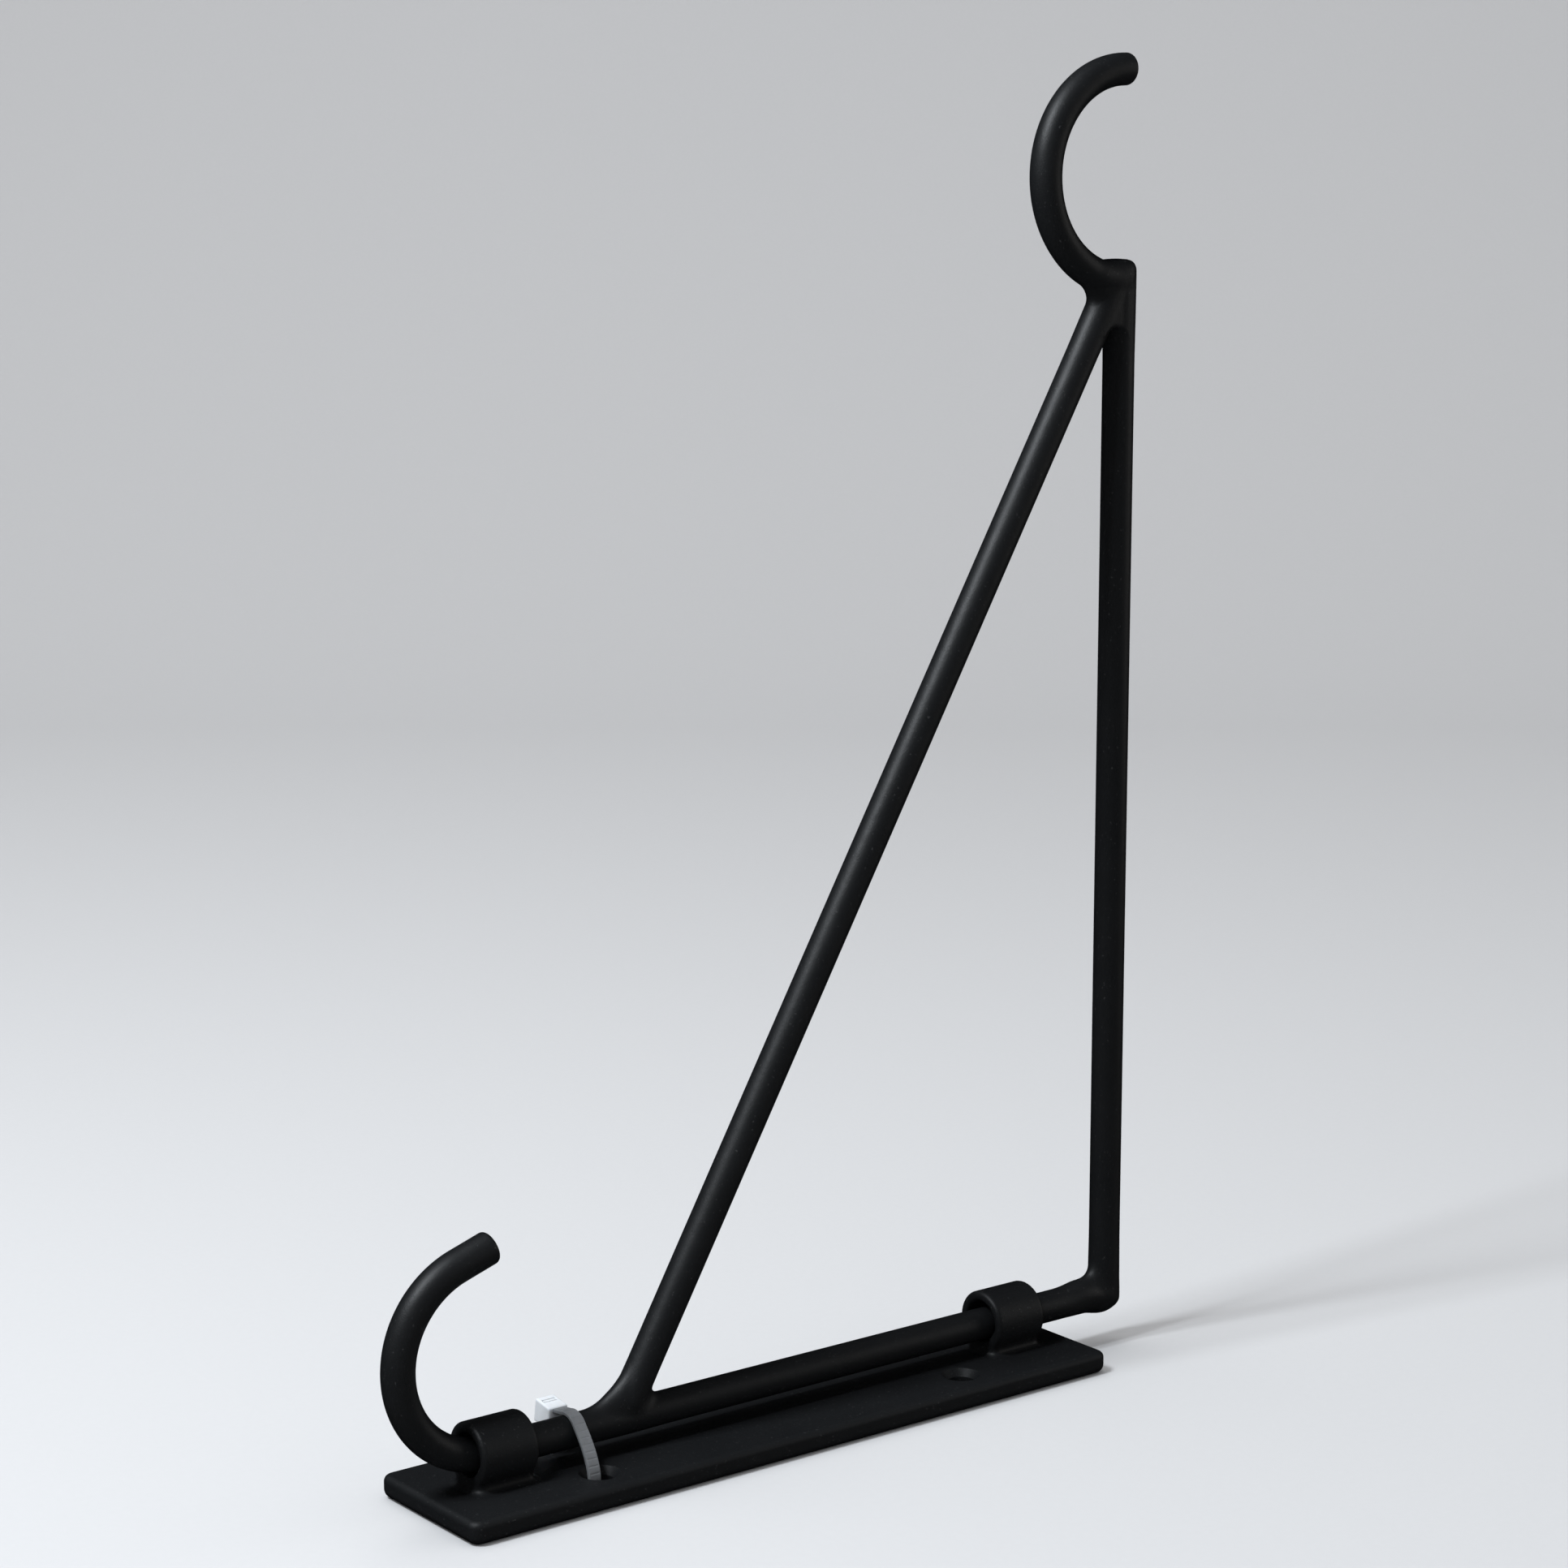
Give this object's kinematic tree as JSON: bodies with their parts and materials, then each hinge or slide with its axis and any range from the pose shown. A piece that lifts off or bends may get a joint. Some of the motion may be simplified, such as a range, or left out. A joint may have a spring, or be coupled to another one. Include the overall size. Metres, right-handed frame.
{
  "type": "swing arm wall bracket",
  "caption": "Swing-arm wall bracket: a triangle of welded round bar with an upper and a lower hook, pivoting in knuckles on a flat wall plate.",
  "frame": {"origin": "middle of the plate's wall face", "axes": "+X along the hinge bar from the lower hook towards the arm, +Y across the plate, +Z out of the wall along the arm"},
  "size_m": [0.1671, 0.0304, 0.2477],
  "materials": {
    "plate_coat": "satin matt black powder coat on flat steel",
    "bar_coat": "satin matt black powder coat on round steel bar",
    "nylon": "natural white nylon"
  },
  "bodies": {
    "wall_plate": {"back_plate": "plate_coat", "knuckle_by_lower_hook": "bar_coat", "knuckle_by_arm": "bar_coat", "cable_tie": "nylon", "cable_tie_tail": "nylon"},
    "swing_frame": {"hinge_bar_with_lower_hook": "bar_coat", "arm": "bar_coat", "brace": "bar_coat", "upper_hook": "bar_coat"}
  },
  "joints": [
    {"name": "frame_swing", "type": "hinge", "parent": "wall_plate", "child": "swing_frame", "pos_m": [0, 0, 0.0096], "axis": [1, 0, 0], "range_deg": [-90, 90]}
  ]
}
